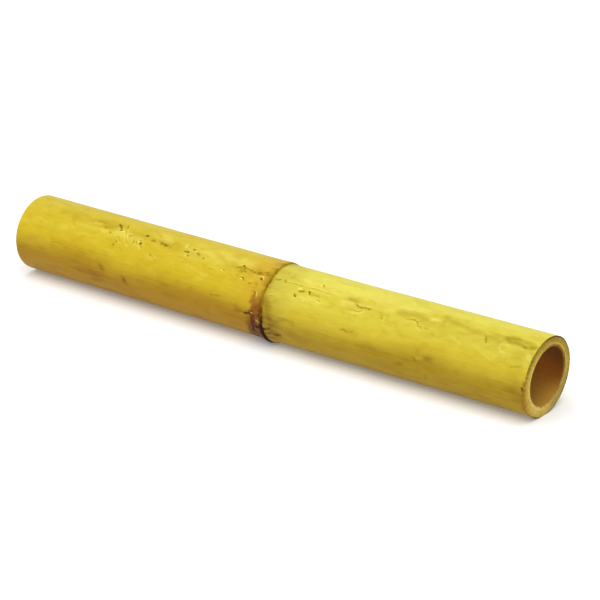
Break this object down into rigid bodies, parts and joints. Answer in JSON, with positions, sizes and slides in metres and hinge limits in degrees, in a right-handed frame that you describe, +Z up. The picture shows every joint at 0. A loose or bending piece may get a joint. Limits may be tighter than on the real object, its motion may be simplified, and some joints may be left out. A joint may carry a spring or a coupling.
{
  "type": "bamboo cane",
  "caption": "Cut length of bamboo cane lying on its side: a hollow yellow culm with a ringed, swollen node, a diaphragm inside at the node and plain sawn ends.",
  "frame": {"origin": "on the surface that the cane lies on, below the middle of its bounding box", "axes": "+X along the cane towards its near end, the one closer to the node, and +Z up from the surface that it lies on"},
  "size_m": [0.3156, 0.0416, 0.0399],
  "materials": {
    "bamboo": "smooth waxy yellow skin, satin, with brown mottling and a dry fibrous sawn wall at the ends"
  },
  "bodies": {
    "root": {"culm": "bamboo"}
  },
  "joints": []
}
